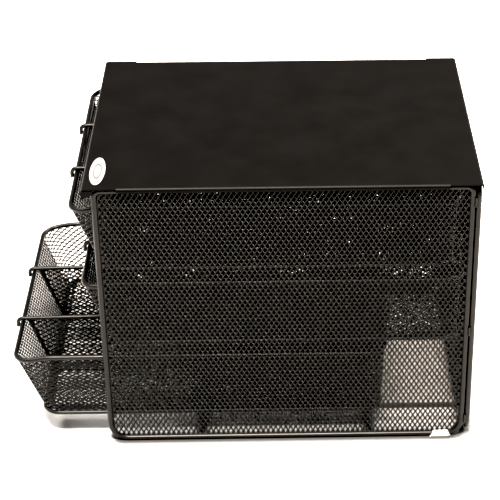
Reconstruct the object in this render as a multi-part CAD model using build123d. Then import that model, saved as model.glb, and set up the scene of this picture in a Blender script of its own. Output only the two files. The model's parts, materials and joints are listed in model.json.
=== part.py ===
from build123d import *
import os
from math import sqrt

# Three-drawer desk organizer of black steel wire and expanded-metal mesh, in millimetres.
# +X is the organizer's right side, -Y its front and +Z up. The origin lies on the desk, under the
# middle of the box that holds the organizer as it stands, with its bottom drawer pulled part way out.

# Case
CASE_WIDTH = 210.0
CASE_DEPTH = 272.0
CASE_HEIGHT = 210.0

# Top panel, one folded sheet
SHEET = 1.0
FOLD_RADIUS = 2.5
FRONT_LIP = 8.0
SIDE_LIP = 3.5
REAR_LIP = 4.0
SIDE_LIP_FRONT_NOTCH = 24.0
SIDE_LIP_REAR_NOTCH = 23.0
TAB_REAR_HEIGHT = 2.5
TAB_SLIT = 0.5

# Blank oval badge, let into the top panel near its right front corner
BADGE_LENGTH = 40.0
BADGE_WIDTH = 10.5
BADGE_DEPTH = 0.3
BADGE_FROM_RIGHT = 26.5
BADGE_FROM_FRONT = 9.6

# Wire diameters and sheet thickness of the mesh
FRAME_WIRE = 4.0
BACK_WIRE = 4.0
RUNNER_WIRE = 4.0
TIE_WIRE = 4.0
RIM_WIRE = 3.6
BASE_WIRE = 3.0
ROD_WIRE = 3.0
MESH = 0.6

# Diamond openings of the mesh, a coarse grid: its pitch along and up a sheet, and the strips between
OPENING_ALONG = 21.0
OPENING_UP = 20.0
OPENING_STRIP = 3.0
OPENING_BORDER = 0.5

# Fits: a welded seam between fixed pieces, and the running gap of what slides or lifts off
SEAM = 0.05
RUNNING_GAP = 0.3

# Side frames, back frame and what ties them together
FRONT_OVERHANG = 6.4
FRAME_FOOT_CORNER = 13.0
FRAME_TOP_CORNER = 5.0
BACK_CORNER = 9.0
BACK_RAISED = 3.0
TIE_SPACING = 123.0
WELD_BEAD = 1.6
WELD_LENGTH = 7.0
WELD_FROM_FOOT = 16.0
WELD_MIDDLE = 92.0
WELD_FROM_TOP = 14.0

# White pads on the outside of the bottom wires, where their rear bends begin
PAD_WALL = 0.8
PAD_LENGTH = 15.5
PAD_FROM_REAR = 7.5
PAD_END_TAPER = 3.0

# Drawer runners
RUNNER_HEIGHT = 15.7
RUNNER_INSET = 16.0
RUNNER_BEND = 6.0

# Drawers, and the room that they leave: above the top drawer's bay, and above each drawer's rim for
# its dividers and for the next drawer's runners
DRAWER_LENGTH = 270.0
DRAWER_SIDE_GAP = 0.5
TOP_ROOM = 10.3
RIM_ROOM = 10.3
FRONT_SLOPE = 17.1
REAR_SLOPE = 2.5
SIDE_SLOPE = 3.7
RIM_CORNER = 13.0
BASE_CORNER = 12.0
WALL_FLANGE = 6.0

# The rim falls towards its front: how far, over what length behind its corners, and the bend there
FRONT_DIP = 3.8
DIP_LENGTH = 10.0
DIP_BEND = 40.0

# How far each drawer's rim stands out past the top panel, as it is seen at rest
PULLED_OUT = {"bottom": 59.9, "middle": 6.7, "top": 11.4}

# Dividers: where each one hangs across the drawer, left then right, and its hooks and panel
DIVIDER_PLACES = {"bottom": (-28.0, 44.0), "middle": (-29.3, 37.4), "top": (-29.7, 39.0)}
HOOK_DROP = 6.5
PANEL_END_GAP = 1.5
PANEL_FLOOR_GAP = 1.0

# Places worked out from the sizes above
FRAME_X = CASE_WIDTH / 2 - SHEET - SEAM - FRAME_WIRE / 2
FRAME_FRONT = -CASE_DEPTH / 2 + FRONT_OVERHANG + FRAME_WIRE / 2
BACK_Y = CASE_DEPTH / 2 - SHEET - SEAM - BACK_WIRE / 2
FRAME_REAR = BACK_Y - BACK_WIRE / 2 - SEAM - FRAME_WIRE / 2
FRAME_FOOT = FRAME_WIRE / 2
FRAME_TOP = CASE_HEIGHT - SHEET - SEAM - FRAME_WIRE / 2
RUNNER_X = FRAME_X - RUNNER_INSET
RIM_X = FRAME_X - FRAME_WIRE / 2 - DRAWER_SIDE_GAP - RIM_WIRE / 2
BASE_X = RIM_X - SIDE_SLOPE
WELD_HEIGHTS = (WELD_FROM_FOOT, WELD_MIDDLE, CASE_HEIGHT - WELD_FROM_TOP)
HOOK_REACH = RIM_WIRE / 2 + RUNNING_GAP + ROD_WIRE / 2
DRAWER_PITCH = (CASE_HEIGHT - SHEET - TOP_ROOM - RUNNER_HEIGHT) / len(PULLED_OUT)
DRAWER_HEIGHT = DRAWER_PITCH - RIM_ROOM
LEVELS = {name: step * DRAWER_PITCH for step, name in enumerate(PULLED_OUT)}

# The organizer's box reaches from the foremost hook to the rear of the top panel
FOREMOST = -CASE_DEPTH / 2 - max(PULLED_OUT.values()) - RUNNING_GAP - ROD_WIRE
ORIGIN_SHIFT = -(FOREMOST + CASE_DEPTH / 2) / 2


def bent_wire(points, radius, diameter, close=False):
    """A round wire along straight runs; the radius is that of the wire's middle in each bend."""
    path = FilletPolyline(*points, radius=radius, close=close)
    section = Plane(origin=path @ 0, z_dir=path % 0) * Circle(diameter / 2)
    return sweep(section, path=path)


def straight_wire(start, end, diameter):
    """A round wire from one point to another, cut square."""
    path = Line(start, end)
    section = Plane(origin=path @ 0, z_dir=path % 0) * Circle(diameter / 2)
    return extrude(section, amount=path.length)


def corners(limits):
    """The four corners of a rectangle given as (low u, high u, low v, high v), in order."""
    low_u, high_u, low_v, high_v = limits
    return [(low_u, low_v), (high_u, low_v), (high_u, high_v), (low_u, high_v)]


def drawn_in(limits, margin):
    """A rectangle's limits, drawn in by the same margin on every side."""
    low_u, high_u, low_v, high_v = limits
    return low_u + margin, high_u - margin, low_v + margin, high_v - margin


def rounded(limits, radius):
    """A rectangle with rounded corners, as a face on the XY plane; radius may be one per corner."""
    return make_face(FilletPolyline(*corners(limits), radius=radius, close=True))


def diamonds(limits):
    """The outlines of the diamond openings that fill a rectangle, every second row half a pitch along."""
    low_u, high_u, low_v, high_v = drawn_in(limits, OPENING_BORDER)
    along = int((high_u - low_u) / OPENING_ALONG)
    up = int((high_v - low_v) / OPENING_UP)
    start_u = (low_u + high_u - (along - 1) * OPENING_ALONG) / 2
    start_v = (low_v + high_v - (up - 1) * OPENING_UP) / 2
    across_strip = OPENING_STRIP * sqrt(1 / OPENING_ALONG**2 + 1 / OPENING_UP**2)
    half_u = OPENING_ALONG * (1 - across_strip) / 2
    half_v = OPENING_UP * (1 - across_strip) / 2
    outlines = []
    for row in range(2 * up - 1):
        for step in range(row % 2, 2 * along - 1, 2):
            u = start_u + step * OPENING_ALONG / 2
            v = start_v + row * OPENING_UP / 2
            outlines.append([(u - half_u, v), (u, v - half_v), (u + half_u, v), (u, v + half_v)])
    return outlines


def opened(sheet, limits):
    """A flat face of mesh with diamond openings over the given part of it."""
    openings = [Polyline(*outline, close=True).wire() for outline in diamonds(limits)]
    return Face(sheet.wire(), openings)


def bar(plane, outline, radius, amount):
    """A solid drawn out square from an outline on a plane."""
    return extrude(plane * make_face(FilletPolyline(*outline, radius=radius, close=True)), amount=amount)


def both_sides(piece):
    """A piece on the right side and its mirror image on the left."""
    return [piece, mirror(piece, Plane.YZ)]


def badge():
    """The blank oval badge, flush with the top."""
    place = Pos(CASE_WIDTH / 2 - BADGE_FROM_RIGHT, -CASE_DEPTH / 2 + BADGE_FROM_FRONT, CASE_HEIGHT)
    return extrude(place * Ellipse(BADGE_LENGTH / 2, BADGE_WIDTH / 2), amount=-BADGE_DEPTH)


def top_panel():
    """The folded steel top: front, rear and side lips, and a tab at each end of the front lip."""
    side, front, rear = CASE_WIDTH / 2, -CASE_DEPTH / 2, CASE_DEPTH / 2
    top, under = CASE_HEIGHT, CASE_HEIGHT - SHEET
    inside_fold = FOLD_RADIUS - SHEET

    # front lip, top and rear lip in one section
    lengthwise = [
        (front, top - FRONT_LIP),
        (front, top),
        (rear, top),
        (rear, top - REAR_LIP),
        (rear - SHEET, top - REAR_LIP),
        (rear - SHEET, under),
        (front + SHEET, under),
        (front + SHEET, top - FRONT_LIP),
    ]
    lengthwise_folds = [0, FOLD_RADIUS, FOLD_RADIUS, 0, 0, inside_fold, inside_fold, 0]
    panel = bar(Plane.YZ.offset(-side), lengthwise, lengthwise_folds, CASE_WIDTH)

    # side lips between their two notches, in place of the sheet's square edge
    lip_front = front + SIDE_LIP_FRONT_NOTCH
    lip_length = CASE_DEPTH - SIDE_LIP_FRONT_NOTCH - SIDE_LIP_REAR_NOTCH
    lip_plane = Plane(origin=(0, lip_front, 0), x_dir=(-1, 0, 0), z_dir=(0, 1, 0))
    seam = FOLD_RADIUS + SHEET - side
    square_edge = [(-side, under), (-side, top), (seam, top), (seam, under)]
    sideways = [
        (seam, top),
        (-side, top),
        (-side, top - SIDE_LIP),
        (SHEET - side, top - SIDE_LIP),
        (SHEET - side, under),
        (seam, under),
    ]
    panel -= both_sides(bar(lip_plane, square_edge, 0, lip_length))
    panel += both_sides(bar(lip_plane, sideways, [0, FOLD_RADIUS, 0, 0, inside_fold, 0], lip_length))

    # tabs folded back from the front lip, welded to the front wires
    tab = [
        (front + SHEET, top - FRONT_LIP),
        (FRAME_FRONT, under - TAB_SLIT - TAB_REAR_HEIGHT),
        (FRAME_FRONT, under - TAB_SLIT),
        (front + SHEET, under - TAB_SLIT),
    ]
    panel += both_sides(bar(Plane.YZ.offset(side - SHEET), tab, 0, SHEET))
    return panel - badge()


def side_frame():
    """The right side's closed loop of wire, with wide bends at the foot and tight ones at the top."""
    loop = [(FRAME_X, y, z) for y, z in corners((FRAME_FRONT, FRAME_REAR, FRAME_FOOT, FRAME_TOP))]
    bends = [FRAME_FOOT_CORNER, FRAME_FOOT_CORNER, FRAME_TOP_CORNER, FRAME_TOP_CORNER]
    return bent_wire(loop, bends, FRAME_WIRE, close=True)


def side_mesh():
    """The right side's sheet of mesh, welded all round inside its frame."""
    inset = FRAME_WIRE / 2 + SEAM
    limits = drawn_in((FRAME_FRONT, FRAME_REAR, FRAME_FOOT, FRAME_TOP), inset)
    bends = [FRAME_FOOT_CORNER - inset] * 2 + [FRAME_TOP_CORNER - inset] * 2
    face = opened(rounded(limits, bends), limits)
    return extrude(Plane.YZ.offset(FRAME_X) * face, amount=MESH / 2, both=True)


def back_limits():
    """The back frame's limits across and up, at the wire's middle."""
    return -FRAME_X, FRAME_X, BACK_RAISED + BACK_WIRE / 2, CASE_HEIGHT - SHEET - SEAM - BACK_WIRE / 2


def back_frame():
    """The closed loop of wire across the back."""
    loop = [(x, BACK_Y, z) for x, z in corners(back_limits())]
    return bent_wire(loop, BACK_CORNER, BACK_WIRE, close=True)


def back_mesh():
    """The sheet of mesh welded inside the back frame."""
    inset = BACK_WIRE / 2 + SEAM
    limits = drawn_in(back_limits(), inset)
    face = opened(rounded(limits, BACK_CORNER - inset), limits)
    plane = Plane(origin=(0, BACK_Y, 0), x_dir=(1, 0, 0), z_dir=(0, -1, 0))
    return extrude(plane * face, amount=MESH / 2, both=True)


def weld_beads():
    """Short beads in the groove between each side frame's rear wire and the back frame."""
    bead_y = (FRAME_REAR + BACK_Y) / 2
    to_wire = FRAME_WIRE / 2 + SEAM + WELD_BEAD / 2
    out = sqrt(to_wire**2 - (bead_y - FRAME_REAR) ** 2)
    beads = []
    for height in WELD_HEIGHTS:
        low = (FRAME_X + out, bead_y, height - WELD_LENGTH / 2)
        high = (FRAME_X + out, bead_y, height + WELD_LENGTH / 2)
        beads += both_sides(straight_wire(low, high, WELD_BEAD))
    return Compound(children=beads)


def cross_tie(y):
    """A straight wire between the two bottom wires."""
    reach = FRAME_X - FRAME_WIRE / 2 - SEAM
    return straight_wire((-reach, y, FRAME_FOOT), (reach, y, FRAME_FOOT), TIE_WIRE)


def foot_pad():
    """The right side's pad, half a sleeve outside the bottom wire and its mesh, flat underneath."""
    rear = FRAME_REAR - PAD_FROM_REAR
    front = rear - PAD_LENGTH
    inner = FRAME_WIRE / 2 + SEAM
    outer = inner + PAD_WALL
    crown = FRAME_FOOT + outer + PAD_WALL
    route = [
        (FRAME_X, front, FRAME_FOOT),
        (FRAME_X, FRAME_REAR, FRAME_FOOT),
        (FRAME_X, FRAME_REAR, FRAME_TOP),
    ]
    core = bent_wire(route, FRAME_FOOT_CORNER, 2 * inner)
    sleeve = bent_wire(route, FRAME_FOOT_CORNER, 2 * outer) - core
    side_shape = Polyline(
        (front, 0),
        (rear, 0),
        (rear - PAD_END_TAPER, crown),
        (front + PAD_END_TAPER, crown),
        close=True,
    )
    outside_mesh = Plane.YZ.offset(FRAME_X + MESH / 2 + SEAM)
    return sleeve & extrude(outside_mesh * make_face(side_shape), amount=outer)


def runner(level):
    """One right-hand runner: a wire that carries a drawer's edge, with its ends turned out to the frame."""
    height = RUNNER_HEIGHT + level
    end = FRAME_X - FRAME_WIRE / 2 - SEAM
    route = [
        (end, FRAME_FRONT, height),
        (RUNNER_X, FRAME_FRONT, height),
        (RUNNER_X, FRAME_REAR, height),
        (end, FRAME_REAR, height),
    ]
    return bent_wire(route, RUNNER_BEND, RUNNER_WIRE)


class Drawer:
    """The places of one drawer, with its wires given at their middles."""

    def __init__(self, name):
        outer_front = -CASE_DEPTH / 2 - PULLED_OUT[name]
        self.front = outer_front + RIM_WIRE / 2
        self.rear = outer_front + DRAWER_LENGTH - RIM_WIRE / 2
        self.dip_start = self.front + RIM_CORNER + DIP_LENGTH
        self.base_z = RUNNER_HEIGHT + LEVELS[name] + RUNNER_WIRE / 2 + RUNNING_GAP + BASE_WIRE / 2
        self.rim_z = self.base_z + DRAWER_HEIGHT
        self.front_rim_z = self.rim_z - FRONT_DIP
        self.wall_foot = self.base_z + BASE_WIRE / 2 + SEAM
        self.base_limits = (-BASE_X, BASE_X, self.front + FRONT_SLOPE, self.rear - REAR_SLOPE)
        self.rod_front = (self.front - HOOK_REACH, self.front_rim_z + HOOK_REACH)
        self.rod_rear = (self.rear + HOOK_REACH, self.rim_z + HOOK_REACH)

    def rim(self):
        """The closed wire round the drawer's mouth, lower along the front than along the sides."""
        loop = [
            (-RIM_X, self.rear, self.rim_z),
            (RIM_X, self.rear, self.rim_z),
            (RIM_X, self.dip_start, self.rim_z),
            (RIM_X, self.front, self.front_rim_z),
            (-RIM_X, self.front, self.front_rim_z),
            (-RIM_X, self.dip_start, self.rim_z),
        ]
        bends = [RIM_CORNER, RIM_CORNER, DIP_BEND] * 2
        return bent_wire(loop, bends, RIM_WIRE, close=True)

    def base_wire(self):
        """The closed wire round the drawer's floor."""
        loop = [(x, y, self.base_z) for x, y in corners(self.base_limits)]
        return bent_wire(loop, BASE_CORNER, BASE_WIRE, close=True)

    def above_walls(self):
        """All that lies above the walls' upper edge, which follows the rim as it is seen from the side."""
        fall = FRONT_DIP / (self.dip_start - self.front)
        under_rim = (RIM_WIRE / 2 + SEAM) * sqrt(1 + fall**2)
        ahead, behind = self.front - FRONT_SLOPE, self.rear + RIM_WIRE
        edge = [
            (ahead, self.front_rim_z - under_rim),
            (self.front, self.front_rim_z - under_rim),
            (self.dip_start, self.rim_z - under_rim),
            (behind, self.rim_z - under_rim),
            (behind, self.rim_z),
            (ahead, self.rim_z),
        ]
        reach = RIM_X + RIM_WIRE
        return bar(Plane.YZ.offset(-reach), edge, [0, 0, DIP_BEND, 0, 0, 0], 2 * reach)

    def wall_mesh(self):
        """The four walls, one sheet of mesh leaning from the rim to the base wire, and its turned-in foot."""
        top = self.rim_z - RIM_WIRE / 2 - SEAM
        lean = FRONT_SLOPE / (top - FRONT_DIP - self.wall_foot)
        mouth_limits = (-RIM_X, RIM_X, self.front - lean * FRONT_DIP, self.rear)
        skins = []
        for margin in (-MESH / 2, MESH / 2):
            mouth = rounded(drawn_in(mouth_limits, margin), RIM_CORNER - margin)
            foot = rounded(drawn_in(self.base_limits, margin), BASE_CORNER - margin)
            skins.append(loft([Pos(0, 0, self.wall_foot) * foot, Pos(0, 0, top) * mouth], ruled=True))
        outer, inner = skins
        outside = rounded(self.base_limits, BASE_CORNER)
        inside = rounded(drawn_in(self.base_limits, WALL_FLANGE), BASE_CORNER - WALL_FLANGE)
        flange = extrude(Pos(0, 0, self.wall_foot) * (outside - inside), amount=MESH)
        return outer - inner - self.above_walls() + flange - self.wall_openings()

    def wall_openings(self):
        """What the diamond openings take out of the walls, straight through from each to the one across."""
        low_x, high_x, low_y, high_y = drawn_in(self.base_limits, BASE_CORNER)
        low_z = self.wall_foot + MESH
        high_z = self.front_rim_z - RIM_WIRE
        ahead, behind = self.front - RIM_WIRE, self.rear + RIM_WIRE
        lengthwise = Plane(origin=(0, behind, 0), x_dir=(1, 0, 0), z_dir=(0, -1, 0))
        sideways = Plane.YZ.offset(-RIM_X - RIM_WIRE)
        cuts = [
            bar(lengthwise, outline, 0, behind - ahead)
            for outline in diamonds((low_x, high_x, low_z, high_z))
        ]
        cuts += [
            bar(sideways, outline, 0, 2 * (RIM_X + RIM_WIRE))
            for outline in diamonds((low_y, high_y, low_z, high_z))
        ]
        return cuts

    def floor_mesh(self):
        """The floor, a flat sheet of mesh welded inside the base wire."""
        inset = BASE_WIRE / 2 + SEAM
        limits = drawn_in(self.base_limits, inset)
        face = opened(rounded(limits, BASE_CORNER - inset), limits)
        return extrude(Pos(0, 0, self.base_z) * face, amount=MESH / 2, both=True)

    def divider_rod(self, x):
        """A divider's top wire, hooked over the front and the rear of the rim."""
        (front, front_z), (rear, rear_z) = self.rod_front, self.rod_rear
        route = [
            (x, front, front_z - HOOK_DROP),
            (x, front, front_z),
            (x, rear, rear_z),
            (x, rear, rear_z - HOOK_DROP),
        ]
        return bent_wire(route, HOOK_REACH, ROD_WIRE)

    def under_rod(self, y):
        """The height of a divider panel's upper edge, welded along the underside of its rod."""
        (front, front_z), (rear, rear_z) = self.rod_front, self.rod_rear
        rise = (rear_z - front_z) / (rear - front)
        return front_z + rise * (y - front) - (ROD_WIRE / 2 + SEAM) * sqrt(1 + rise**2)

    def divider_panel(self, x):
        """A divider's sheet of mesh, under its top wire and clear of the walls and their foot."""
        bottom = self.wall_foot + MESH + PANEL_FLOOR_GAP
        clear = RIM_WIRE / 2 + PANEL_END_GAP
        front, rear = self.front + clear, self.rear - clear
        outline = Polyline(
            (front, self.under_rod(front)),
            (rear, self.under_rod(rear)),
            (rear - REAR_SLOPE, bottom),
            (front + FRONT_SLOPE, bottom),
            close=True,
        )
        limits = (front + FRONT_SLOPE, rear - REAR_SLOPE, bottom, self.under_rod(front))
        face = opened(make_face(outline), limits)
        return extrude(Plane.YZ.offset(x) * face, amount=MESH / 2, both=True)


def all_pieces():
    """Every piece of the organizer under its own name, about the middle of the case."""
    pieces = {
        "top_panel": top_panel(),
        "badge": badge(),
        "back_frame": back_frame(),
        "back_mesh": back_mesh(),
        "rear_weld_beads": weld_beads(),
        "front_cross_tie": cross_tie(-TIE_SPACING / 2),
        "rear_cross_tie": cross_tie(TIE_SPACING / 2),
    }
    handed = {"side_frame": side_frame(), "side_mesh": side_mesh(), "foot_pad": foot_pad()}
    for level_name, level in LEVELS.items():
        handed[f"{level_name}_runner"] = runner(level)
    for name, piece in handed.items():
        pieces[f"right_{name}"], pieces[f"left_{name}"] = both_sides(piece)
    for level_name in LEVELS:
        drawer = Drawer(level_name)
        pieces[f"{level_name}_drawer_rim"] = drawer.rim()
        pieces[f"{level_name}_drawer_base_wire"] = drawer.base_wire()
        pieces[f"{level_name}_drawer_wall_mesh"] = drawer.wall_mesh()
        pieces[f"{level_name}_drawer_floor_mesh"] = drawer.floor_mesh()
        for side, x in zip(("left", "right"), DIVIDER_PLACES[level_name]):
            pieces[f"{level_name}_{side}_divider_rod"] = drawer.divider_rod(x)
            pieces[f"{level_name}_{side}_divider_panel"] = drawer.divider_panel(x)
    return pieces


os.makedirs("parts", exist_ok=True)
for name, piece in all_pieces().items():
    export_step(Pos(0, ORIGIN_SHIFT, 0) * piece, f"parts/{name}.step")
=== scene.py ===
import json
import math

import bpy
from mathutils import Matrix, Vector

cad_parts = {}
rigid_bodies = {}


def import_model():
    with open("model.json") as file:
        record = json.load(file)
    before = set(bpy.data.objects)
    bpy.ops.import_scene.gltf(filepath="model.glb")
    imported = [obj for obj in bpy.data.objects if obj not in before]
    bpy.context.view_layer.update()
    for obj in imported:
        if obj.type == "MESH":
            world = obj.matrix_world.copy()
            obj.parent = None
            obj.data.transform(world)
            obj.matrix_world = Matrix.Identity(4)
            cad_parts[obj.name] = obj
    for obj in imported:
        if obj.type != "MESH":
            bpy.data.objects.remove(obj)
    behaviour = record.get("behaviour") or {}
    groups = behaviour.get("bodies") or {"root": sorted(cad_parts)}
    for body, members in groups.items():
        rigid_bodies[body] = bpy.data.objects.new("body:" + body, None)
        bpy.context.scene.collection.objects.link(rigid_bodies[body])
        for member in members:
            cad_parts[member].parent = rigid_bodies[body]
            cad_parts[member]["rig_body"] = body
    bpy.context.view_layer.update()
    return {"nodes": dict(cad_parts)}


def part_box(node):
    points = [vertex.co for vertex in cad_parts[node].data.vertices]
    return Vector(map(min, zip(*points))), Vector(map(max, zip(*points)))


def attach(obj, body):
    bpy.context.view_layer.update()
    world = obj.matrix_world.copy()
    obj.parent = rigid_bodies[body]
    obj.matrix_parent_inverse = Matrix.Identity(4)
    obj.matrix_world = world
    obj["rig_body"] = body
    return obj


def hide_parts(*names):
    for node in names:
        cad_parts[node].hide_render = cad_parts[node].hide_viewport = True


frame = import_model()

# Three-drawer desk organizer of black wire and expanded metal. Sizes are in metres, in the frame of
# the part: +X is the organizer's right side, -Y its front and +Z up.
MM = 0.001

# Expanded metal: the pitch along a row of openings and over two rows, then its bonds and strands
ROW_PITCH = 3.65 * MM
TWO_ROWS = 6.0 * MM
BOND = 0.5 * MM
STRAND = 0.92 * MM
STRAND_DEPTH = 0.95 * MM

# A cell narrower than this stays closed, and an opening keeps this share of its breadth along its row
LEAST_OPENING = 1.3 * STRAND
OPENING_SHARE = 0.72

# How far a sheet's edge tucks under its wire, and the steps of a rounded corner
EDGE_TUCK = 0.4 * MM
ARC_STEPS = 6

# Wires, corners and slopes that the mesh sheets meet
BASE_WIRE = 3.0 * MM
RIM_WIRE = 3.6 * MM
ROD_WIRE = 3.0 * MM
SIDE_FOOT_CORNER = 10.95 * MM
SIDE_TOP_CORNER = 2.95 * MM
BACK_SHEET_CORNER = 6.95 * MM
FLOOR_CORNER = 10.45 * MM
RIM_CORNER = 13.0 * MM
BASE_CORNER = 12.0 * MM
FRONT_SLOPE = 17.1 * MM
REAR_SLOPE = 2.5 * MM
FRONT_DIP = 3.8 * MM
DIP_LENGTH = 10.0 * MM
WALL_FLANGE = 6.0 * MM
CORNER_SEAM = 0.03 * MM
DIVIDER_HEM = 2.2 * MM

# The badge's printed line, as shares of its half size, and how far from what stands on it the floor's
# painted contact shadow reaches
RING_AT = 0.50
RING_BLUR = 0.20
RING_INK = (0.03, 0.03, 0.03, 1)
CONTACT_SHADOW_REACH = 12.0 * MM

# The drawers, from the floor up
LEVELS = ("bottom", "middle", "top")

# Which way a flat sheet's own X, Y and Z point once it is in place
UPRIGHT_ALONG = Matrix(((0, 0, 1), (1, 0, 0), (0, 1, 0)))
UPRIGHT_ACROSS = Matrix(((1, 0, 0), (0, 0, -1), (0, 1, 0)))
LYING = Matrix.Identity(3)


def node_tree(material):
    """The material's nodes, emptied, with its output."""
    material.use_nodes = True
    tree = material.node_tree
    tree.nodes.clear()
    return tree, tree.nodes.new("ShaderNodeOutputMaterial")


def noise(tree, place, scale, detail=3.0):
    """Cloudy noise on the piece's own coordinates."""
    node = tree.nodes.new("ShaderNodeTexNoise")
    node.inputs["Scale"].default_value = scale
    node.inputs["Detail"].default_value = detail
    tree.links.new(place, node.inputs["Vector"])
    return node.outputs["Fac"]


def between(tree, value, low, high, start=0.35, end=0.65):
    """Spreads a noise value over a range."""
    node = tree.nodes.new("ShaderNodeMapRange")
    node.inputs["From Min"].default_value = start
    node.inputs["From Max"].default_value = end
    node.inputs["To Min"].default_value = low
    node.inputs["To Max"].default_value = high
    tree.links.new(value, node.inputs["Value"])
    return node.outputs["Result"]


def tones(tree, value, dark, light):
    """A colour that goes from dark to light with a value."""
    node = tree.nodes.new("ShaderNodeValToRGB")
    node.color_ramp.elements[0].position = 0.35
    node.color_ramp.elements[0].color = (*dark, 1)
    node.color_ramp.elements[1].position = 0.65
    node.color_ramp.elements[1].color = (*light, 1)
    tree.links.new(value, node.inputs["Fac"])
    return node.outputs["Color"]


def finish(name, dark, light, patch, rough, grain, grain_depth, index):
    """A coat or plastic: cloudy tone, uneven roughness and a fine grain that stands up from the surface."""
    material = bpy.data.materials.new(name)
    tree, output = node_tree(material)
    place = tree.nodes.new("ShaderNodeTexCoord").outputs["Object"]
    shader = tree.nodes.new("ShaderNodeBsdfPrincipled")
    shader.inputs["IOR"].default_value = index
    shader.inputs["Specular Tint"].default_value = (1.0, 0.94, 0.89, 1)
    tree.links.new(tones(tree, noise(tree, place, 1 / patch), dark, light), shader.inputs["Base Color"])
    tree.links.new(between(tree, noise(tree, place, 3 / patch), *rough), shader.inputs["Roughness"])
    bump = tree.nodes.new("ShaderNodeBump")
    bump.inputs["Distance"].default_value = grain_depth
    bump.inputs["Strength"].default_value = 0.6
    tree.links.new(noise(tree, place, 1 / grain, 2.0), bump.inputs["Height"])
    tree.links.new(bump.outputs["Normal"], shader.inputs["Normal"])
    tree.links.new(shader.outputs["BSDF"], output.inputs["Surface"])
    return material


# Each finish: dark and light tone, patch size, roughness, grain size and depth, and refractive index
panel_coat = finish(
    "panel_coat", (0.0014, 0.0012, 0.0011), (0.0019, 0.0017, 0.0016),
    30 * MM, (0.40, 0.43), 0.9 * MM, 0.02 * MM, 1.134,
)
wire_coat = finish(
    "wire_coat", (0.0016, 0.0015, 0.0014), (0.0026, 0.0024, 0.0022),
    12 * MM, (0.31, 0.37), 0.7 * MM, 0.02 * MM, 1.28,
)
mesh_coat = finish(
    "mesh_coat", (0.0022, 0.0019, 0.0017), (0.0032, 0.0028, 0.0025),
    12 * MM, (0.28, 0.34), 0.5 * MM, 0.01 * MM, 1.232,
)
badge_white = finish(
    "badge_white", (0.20, 0.20, 0.195), (0.225, 0.225, 0.22),
    8 * MM, (0.35, 0.45), 0.6 * MM, 0.005 * MM, 1.4,
)
pad_white = finish(
    "pad_white", (0.80, 0.80, 0.77), (0.86, 0.86, 0.83),
    5 * MM, (0.5, 0.6), 0.5 * MM, 0.01 * MM, 1.4,
)
floor_pale = finish(
    "floor_pale", (0.50, 0.50, 0.50), (0.52, 0.52, 0.52),
    400 * MM, (0.7, 0.8), 2 * MM, 0.0, 1.2,
)


def print_ring(material, middle, half_size):
    """Prints a thin grey oval line inside the badge's edge."""
    tree = material.node_tree
    shader = tree.nodes["Principled BSDF"]
    white = shader.inputs["Base Color"].links[0].from_socket
    place = tree.nodes.new("ShaderNodeTexCoord").outputs["Object"]
    from_middle = tree.nodes.new("ShaderNodeVectorMath")
    from_middle.operation = "SUBTRACT"
    from_middle.inputs[1].default_value = middle
    tree.links.new(place, from_middle.inputs[0])
    share = tree.nodes.new("ShaderNodeVectorMath")
    share.operation = "MULTIPLY"
    share.inputs[1].default_value = (1 / half_size[0], 1 / half_size[1], 0)
    tree.links.new(from_middle.outputs["Vector"], share.inputs[0])
    out = tree.nodes.new("ShaderNodeVectorMath")
    out.operation = "LENGTH"
    tree.links.new(share.outputs["Vector"], out.inputs[0])
    ring = tree.nodes.new("ShaderNodeValToRGB")
    ring.color_ramp.elements[0].position = RING_AT - RING_BLUR
    ring.color_ramp.elements[0].color = (0, 0, 0, 1)
    ring.color_ramp.elements[1].position = RING_AT
    ring.color_ramp.elements[1].color = (1, 1, 1, 1)
    ring.color_ramp.elements.new(RING_AT + RING_BLUR).color = (0, 0, 0, 1)
    tree.links.new(out.outputs["Value"], ring.inputs["Fac"])
    ink = tree.nodes.new("ShaderNodeMix")
    ink.data_type = "RGBA"
    ink.inputs["B"].default_value = RING_INK
    tree.links.new(ring.outputs["Color"], ink.inputs["Factor"])
    tree.links.new(white, ink.inputs["A"])
    tree.links.new(ink.outputs["Result"], shader.inputs["Base Color"])


def paint_contact_shadow(material):
    """Paints shade into the floor's colour: a painted contact shadow, darker close to what stands on it."""
    tree = material.node_tree
    shader = tree.nodes["Principled BSDF"]
    pale = shader.inputs["Base Color"].links[0].from_socket
    near = tree.nodes.new("ShaderNodeAmbientOcclusion")
    near.inputs["Distance"].default_value = CONTACT_SHADOW_REACH
    shade = tree.nodes.new("ShaderNodeVectorMath")
    shade.operation = "MULTIPLY"
    tree.links.new(pale, shade.inputs[0])
    # ambient occlusion darkens the floor's colour: painted shade under and beside the wires
    tree.links.new(between(tree, near.outputs["AO"], 0.08, 1.0, 0.72, 1.0), shade.inputs[1])
    tree.links.new(shade.outputs["Vector"], shader.inputs["Base Color"])


badge_low, badge_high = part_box("badge")
print_ring(badge_white, (badge_low + badge_high) / 2, (badge_high - badge_low) / 2)
# the floor's colour gets a painted contact shadow round everything that stands on it
paint_contact_shadow(floor_pale)


def rounded_outline(low, high, corners):
    """The points round a rectangle with its own corner radii, counter-clockwise from the low corner."""
    middles = [
        (low[0] + corners[0], low[1] + corners[0]),
        (high[0] - corners[1], low[1] + corners[1]),
        (high[0] - corners[2], high[1] - corners[2]),
        (low[0] + corners[3], high[1] - corners[3]),
    ]
    points = []
    for quarter, (middle, radius) in enumerate(zip(middles, corners)):
        for step in range(ARC_STEPS + 1):
            turn = math.pi * (1 + quarter / 2 + step / ARC_STEPS / 2)
            points.append((middle[0] + radius * math.cos(turn), middle[1] + radius * math.sin(turn)))
    return points


def apply_modifier(piece, kind, **settings):
    """Adds a modifier to the active piece, sets it and applies it."""
    modifier = piece.modifiers.new(kind.lower(), kind)
    for name, value in settings.items():
        setattr(modifier, name, value)
    bpy.ops.object.modifier_apply(modifier=modifier.name)


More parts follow.
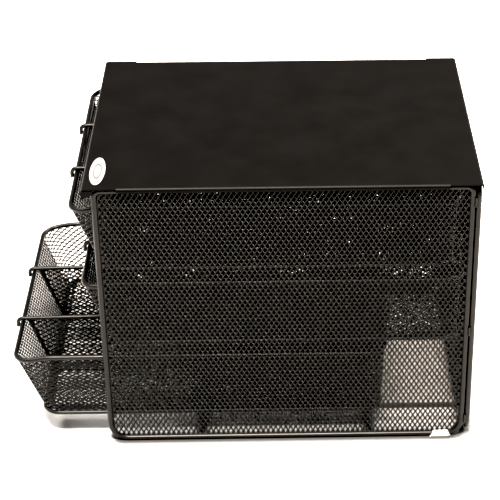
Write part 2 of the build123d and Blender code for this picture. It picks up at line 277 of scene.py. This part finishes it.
def along_edge(start, end, margin):
    """A line inside an edge of an outline, at a margin: a point on it and its outward normal."""
    run = (Vector(end) - Vector(start)).normalized()
    outward = Vector((run.y, -run.x))
    return Vector(start) - margin * outward, outward


def breadth(mesh, face):
    """How broad a face is: twice its area over its outline's length."""
    points = [mesh.vertices[number].co for number in face.vertices]
    around = sum((point - last).length for point, last in zip(points, points[-1:] + points[:-1]))
    return 2 * face.area / around


def narrow_openings(mesh, axis):
    """Draws the selected openings in along their row, which leaves the bonds broader than the strands."""
    for face in mesh.polygons:
        if not face.select:
            continue
        middle = face.center[axis]
        for number in face.vertices:
            place = mesh.vertices[number].co
            place[axis] = middle + OPENING_SHARE * (place[axis] - middle)


def expanded_metal(name, outline, lengthwise=False, hems=()):
    """A flat sheet of expanded metal in its own XY plane, cut to an outline, with hems along some edges."""
    lows = [min(point[axis] for point in outline) for axis in (0, 1)]
    highs = [max(point[axis] for point in outline) for axis in (0, 1)]
    pitch = (TWO_ROWS, ROW_PITCH) if lengthwise else (ROW_PITCH, TWO_ROWS)
    counts = [math.ceil((high - low) / step) + 2 for low, high, step in zip(lows, highs, pitch)]

    # one cell, a diamond with its side corners cut off at the bonds
    tall = TWO_ROWS - BOND
    across = ROW_PITCH * tall / (tall - BOND)
    bpy.ops.object.select_all(action="DESELECT")
    bpy.ops.mesh.primitive_circle_add(vertices=4, radius=1, fill_type="NGON")
    sheet = bpy.context.object
    sheet.name = name
    sheet.data.name = name
    bpy.ops.object.mode_set(mode="EDIT")
    bpy.ops.transform.resize(value=(across / 2, tall / 2, 1), center_override=(0, 0, 0))
    for side in (1, -1):
        bpy.ops.mesh.select_all(action="SELECT")
        bpy.ops.mesh.bisect(plane_co=(side * ROW_PITCH / 2, 0, 0), plane_no=(side, 0, 0), clear_outer=True)
    bpy.ops.mesh.select_all(action="SELECT")
    if lengthwise:
        bpy.ops.transform.rotate(value=math.pi / 2, orient_axis="Z", center_override=(0, 0, 0))
    bpy.ops.transform.translate(value=(lows[0] - pitch[0] / 2, lows[1] - pitch[1] / 2, STRAND_DEPTH / 2))
    bpy.ops.object.mode_set(mode="OBJECT")

    # it is repeated along its row, half a pitch along in the next row, and over all rows
    repeats = [
        (counts[0], (pitch[0], 0, 0)),
        (2, (pitch[0] / 2, pitch[1] / 2, 0)),
        (counts[1], (0, pitch[1], 0)),
    ]
    for count, step in repeats:
        apply_modifier(
            sheet, "ARRAY", count=count,
            use_relative_offset=False, use_constant_offset=True, constant_offset_displace=step,
        )
    bpy.ops.object.mode_set(mode="EDIT")
    bpy.ops.mesh.select_all(action="SELECT")
    bpy.ops.mesh.remove_doubles(threshold=0.02 * MM)

    # cut to the outline, and split along the hems
    for start, end in zip(outline, outline[1:] + outline[:1]):
        spot, outward = along_edge(start, end, 0)
        bpy.ops.mesh.select_all(action="SELECT")
        bpy.ops.mesh.bisect(plane_co=(*spot, 0), plane_no=(*outward, 0), clear_outer=True)
    for start, end in hems:
        spot, outward = along_edge(start, end, DIVIDER_HEM)
        bpy.ops.mesh.select_all(action="SELECT")
        bpy.ops.mesh.bisect(plane_co=(*spot, 0), plane_no=(*outward, 0))

    # each cell outside the hems is inset by half a strand, sunk to the middle of the sheet and opened
    bpy.ops.mesh.select_mode(type="FACE")
    bpy.ops.mesh.select_all(action="DESELECT")
    bpy.ops.object.mode_set(mode="OBJECT")
    hem_lines = [along_edge(start, end, DIVIDER_HEM) for start, end in hems]
    for face in sheet.data.polygons:
        hemmed = any((face.center.to_2d() - spot).dot(outward) > 0 for spot, outward in hem_lines)
        face.select = breadth(sheet.data, face) > LEAST_OPENING and not hemmed
    bpy.ops.object.mode_set(mode="EDIT")
    bpy.ops.mesh.inset(thickness=STRAND / 2, depth=-STRAND_DEPTH / 2, use_individual=True)
    bpy.ops.object.mode_set(mode="OBJECT")
    narrow_openings(sheet.data, 1 if lengthwise else 0)
    bpy.ops.object.mode_set(mode="EDIT")
    bpy.ops.mesh.delete(type="FACE")
    bpy.ops.object.mode_set(mode="OBJECT")

    # the far side is the near side's mirror image, closed round the cut edge
    apply_modifier(sheet, "MIRROR", use_axis=(False, False, True), merge_threshold=0.01 * MM)
    bpy.ops.object.mode_set(mode="EDIT")
    bpy.ops.mesh.select_mode(type="EDGE")
    bpy.ops.mesh.select_all(action="DESELECT")
    bpy.ops.mesh.select_non_manifold(extend=False)
    bpy.ops.mesh.bridge_edge_loops()
    bpy.ops.mesh.select_all(action="SELECT")
    bpy.ops.mesh.normals_make_consistent(inside=False)
    bpy.ops.object.mode_set(mode="OBJECT")
    bpy.ops.object.shade_smooth()
    return sheet


def stand_for(piece, node, coat):
    """Puts a finished piece in the place of a CAD node, on the node's body."""
    piece.data.materials.clear()
    piece.data.materials.append(coat)
    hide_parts(node)
    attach(piece, frame["nodes"][node]["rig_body"])


def place_sheet(sheet, way, spot):
    """Turns a flat sheet upright or leaves it lying, and moves it to its spot."""
    sheet.data.transform(Matrix.Translation(spot) @ way.to_4x4())


def copy_of(piece, name):
    """A copy with its own mesh."""
    other = piece.copy()
    other.data = piece.data.copy()
    other.name = name
    other.data.name = name
    bpy.context.scene.collection.objects.link(other)
    return other


def side_sheets():
    """The two side sheets, inside their frames."""
    low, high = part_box("right_side_mesh")
    tuck = EDGE_TUCK
    corners = [SIDE_FOOT_CORNER + tuck] * 2 + [SIDE_TOP_CORNER + tuck] * 2
    outline = rounded_outline((low.y - tuck, low.z - tuck), (high.y + tuck, high.z + tuck), corners)
    right = expanded_metal("right_side_sheet", outline)
    left = copy_of(right, "left_side_sheet")
    place_sheet(right, UPRIGHT_ALONG, ((low.x + high.x) / 2, 0, 0))
    place_sheet(left, UPRIGHT_ALONG, (-(low.x + high.x) / 2, 0, 0))
    stand_for(right, "right_side_mesh", mesh_coat)
    stand_for(left, "left_side_mesh", mesh_coat)


def back_sheet():
    """The sheet inside the back frame."""
    low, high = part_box("back_mesh")
    tuck = EDGE_TUCK
    outline = rounded_outline(
        (low.x - tuck, low.z - tuck), (high.x + tuck, high.z + tuck), [BACK_SHEET_CORNER + tuck] * 4
    )
    sheet = expanded_metal("back_sheet", outline)
    place_sheet(sheet, UPRIGHT_ACROSS, (0, (low.y + high.y) / 2, 0))
    stand_for(sheet, "back_mesh", mesh_coat)


def loop_pieces(low, high, radius):
    """A rounded rectangle as straight sides and corners in turn, from the rear side's right end."""
    middles = [
        Vector((high.x - radius, high.y - radius)),
        Vector((low.x + radius, high.y - radius)),
        Vector((low.x + radius, low.y + radius)),
        Vector((high.x - radius, low.y + radius)),
    ]
    pieces = []
    for quarter in range(4):
        turn = math.pi / 2 * (1 + quarter)
        start, end = middles[quarter], middles[(quarter + 1) % 4]
        pieces.append((start, end, turn, turn, (end - start).length))
        pieces.append((end, end, turn, turn + math.pi / 2, radius * math.pi / 2))
    return pieces


def on_loop(piece, radius, share):
    """The point and the outward direction at a share of one side or corner."""
    start, end, turn, last_turn = piece[:4]
    angle = turn + (last_turn - turn) * share
    outward = Vector((math.cos(angle), math.sin(angle)))
    return start.lerp(end, share) + radius * outward, outward


def wall_sheet():
    """One drawer's walls, bent round it from the rim to the base wire, with their foot turned in.

    They are folded up from one sheet, so the openings lie along the sides and stand up in front and rear.
    """
    rim_low, rim_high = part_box("bottom_drawer_rim")
    shrink = Vector((RIM_WIRE / 2, RIM_WIRE / 2, 0))
    mouth = loop_pieces(rim_low + shrink, rim_high - shrink, RIM_CORNER)
    front = rim_low.y + RIM_WIRE / 2
    top_z = rim_high.z - RIM_WIRE + EDGE_TUCK
    base_low, base_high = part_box("bottom_drawer_base_wire")
    shrink = Vector((BASE_WIRE / 2, BASE_WIRE / 2, 0))
    foot = loop_pieces(base_low + shrink, base_high - shrink, BASE_CORNER)
    foot_z = base_high.z + STRAND_DEPTH / 2
    tall = top_z - foot_z
    lengths = [(upper[4] + lower[4]) / 2 for upper, lower in zip(mouth, foot)]

    # the strips of the rear, left, front and right wall, with the corners on those of the sides
    strips = []
    end = 0
    for side in range(4):
        along_side = side % 2 == 1
        start = end
        end += sum(lengths[2 * side - 1 : 2 * side + 2]) if along_side else lengths[2 * side]
        near, far = start + CORNER_SEAM, end - CORNER_SEAM
        outline = [(near, -WALL_FLANGE), (far, -WALL_FLANGE), (far, tall), (near, tall)]
        strips.append(expanded_metal(f"wall_strip_{side}", outline, lengthwise=along_side))
    bpy.ops.object.select_all(action="DESELECT")
    for strip in strips:
        strip.select_set(True)
    bpy.context.view_layer.objects.active = strips[0]
    bpy.ops.object.join()
    wall = strips[0]
    wall.name = "bottom_drawer_wall_sheet"
    wall.data.name = "bottom_drawer_wall_sheet"

    for vertex in wall.data.vertices:
        along, height, out = vertex.co
        number = 0
        while number < len(lengths) - 1 and along > lengths[number]:
            along -= lengths[number]
            number += 1
        share = along / lengths[number]
        if height < 0:
            place = on_loop(foot[number], BASE_CORNER + height, share)[0]
            vertex.co = (place.x, place.y, foot_z - out)
            continue
        top = on_loop(mouth[number], RIM_CORNER, share)[0]
        bottom, outward = on_loop(foot[number], BASE_CORNER, share)
        fall = min(max(1 - (top.y - front) / (RIM_CORNER + DIP_LENGTH), 0), 1)
        place = bottom.lerp(top, height / tall) + outward * out
        vertex.co = (place.x, place.y, foot_z + height * (1 - fall * FRONT_DIP / tall))
    return wall


def floor_sheet():
    """One drawer's floor, inside its base wire."""
    low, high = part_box("bottom_drawer_floor_mesh")
    tuck = EDGE_TUCK
    outline = rounded_outline(
        (low.x - tuck, low.y - tuck), (high.x + tuck, high.y + tuck), [FLOOR_CORNER + tuck] * 4
    )
    floor = expanded_metal("bottom_drawer_floor_sheet", outline)
    place_sheet(floor, LYING, (0, 0, (low.z + high.z) / 2))
    return floor


def divider_sheet():
    """One divider's sheet, under its sloping rod, hemmed at both ends."""
    low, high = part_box("bottom_left_divider_panel")
    rod_low, rod_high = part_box("bottom_left_divider_rod")
    fall = FRONT_DIP * (high.y - low.y) / (rod_high.y - rod_low.y - ROD_WIRE)
    outline = [
        (low.y + FRONT_SLOPE, low.z),
        (high.y - REAR_SLOPE, low.z),
        (high.y, high.z + EDGE_TUCK),
        (low.y, high.z - fall + EDGE_TUCK),
    ]
    hems = [(outline[1], outline[2]), (outline[3], outline[0])]
    sheet = expanded_metal("bottom_left_divider_sheet", outline, lengthwise=True, hems=hems)
    place_sheet(sheet, UPRIGHT_ALONG, ((low.x + high.x) / 2, 0, 0))
    return sheet


def spread(piece, first_node, nodes):
    """Gives each like node its own copy of the piece that was made for the first one."""
    first_low, first_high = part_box(first_node)
    for node in nodes:
        if node == first_node:
            continue
        low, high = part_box(node)
        copy = copy_of(piece, node.replace("_mesh", "_sheet").replace("_panel", "_sheet"))
        copy.data.transform(Matrix.Translation(low - first_low))
        stand_for(copy, node, mesh_coat)
    stand_for(piece, first_node, mesh_coat)


side_sheets()
back_sheet()
spread(wall_sheet(), "bottom_drawer_wall_mesh", [f"{level}_drawer_wall_mesh" for level in LEVELS])
spread(floor_sheet(), "bottom_drawer_floor_mesh", [f"{level}_drawer_floor_mesh" for level in LEVELS])
panels = [f"{level}_{side}_divider_panel" for level in LEVELS for side in ("left", "right")]
spread(divider_sheet(), "bottom_left_divider_panel", panels)


def coat_nodes():
    """The wires, the panel, the badge and the pads keep their solids and get their finishes."""
    for name, node in frame["nodes"].items():
        coat = wire_coat
        if name == "top_panel":
            coat = panel_coat
        elif name == "badge":
            coat = badge_white
        elif name.endswith("foot_pad"):
            coat = pad_white
        node.data.materials.clear()
        node.data.materials.append(coat)


coat_nodes()


# The photograph's viewpoint: eye, angles in degrees, lens and the shift of its framing
EYE = (1.11098, 0.02978, 0.74647)
LOOK_DOWN = 31.3572
LOOK_ASIDE = -1.1451
TILT = -0.1611
LENS = 122.17
SENSOR = 36.0
SHIFT = (-0.1207, 0.06886)


def camera():
    """The camera at the photograph's place."""
    bpy.ops.object.select_all(action="DESELECT")
    bpy.ops.object.camera_add(location=EYE)
    eye = bpy.context.object
    down, aside, tilt = (math.radians(angle) for angle in (LOOK_DOWN, LOOK_ASIDE, TILT))
    turned = Matrix.Rotation(aside, 3, "Z")
    ahead = turned @ Vector((-math.cos(down), 0, -math.sin(down)))
    level = turned @ Vector((0, 1, 0))
    upward = turned @ Vector((-math.sin(down), 0, math.cos(down)))
    right = math.cos(tilt) * level + math.sin(tilt) * upward
    up = math.cos(tilt) * upward - math.sin(tilt) * level
    eye.rotation_euler = Matrix((right, up, -ahead)).transposed().to_euler()
    eye.data.lens = LENS
    eye.data.sensor_width = SENSOR
    eye.data.shift_x, eye.data.shift_y = SHIFT
    bpy.context.scene.camera = eye


def softbox(name, place, aim, size, power, tint):
    """A square area light that faces a point."""
    bpy.ops.object.light_add(type="AREA", location=place)
    lamp = bpy.context.object
    lamp.name = name
    lamp.data.shape = "SQUARE"
    lamp.data.size = size
    lamp.data.energy = power
    lamp.data.color = tint
    lamp.rotation_euler = (Vector(aim) - Vector(place)).to_track_quat("-Z", "Y").to_euler()


def studio():
    """A pale floor, a dim room and three soft lamps: high on the right, behind and in front."""
    bpy.ops.mesh.primitive_plane_add(size=30)
    floor = bpy.context.object
    floor.name = "studio_floor"
    floor.data.materials.append(floor_pale)
    softbox("softbox_key", (1.4, -0.15, 3.6), (0, 0, 0.05), 0.8, 900, (1.0, 0.93, 0.85))
    softbox("softbox_back", (-0.5, 1.5, 2.4), (0, 0.1, 0), 1.0, 410, (1.0, 0.87, 0.74))
    softbox("softbox_front", (-0.4, -1.5, 2.4), (0, -0.15, 0), 0.8, 100, (1.0, 0.93, 0.86))
    room = bpy.data.worlds.new("studio_room")
    bpy.context.scene.world = room
    room.use_nodes = True
    room.node_tree.nodes["Background"].inputs["Color"].default_value = (1.0, 0.93, 0.86, 1)
    room.node_tree.nodes["Background"].inputs["Strength"].default_value = 0.5
    view = bpy.context.scene.view_settings
    view.view_transform = "Standard"
    view.use_curve_mapping = True
    view.curve_mapping.black_level = (0.018, 0.0155, 0.0138)
    view.curve_mapping.update()


camera()
studio()
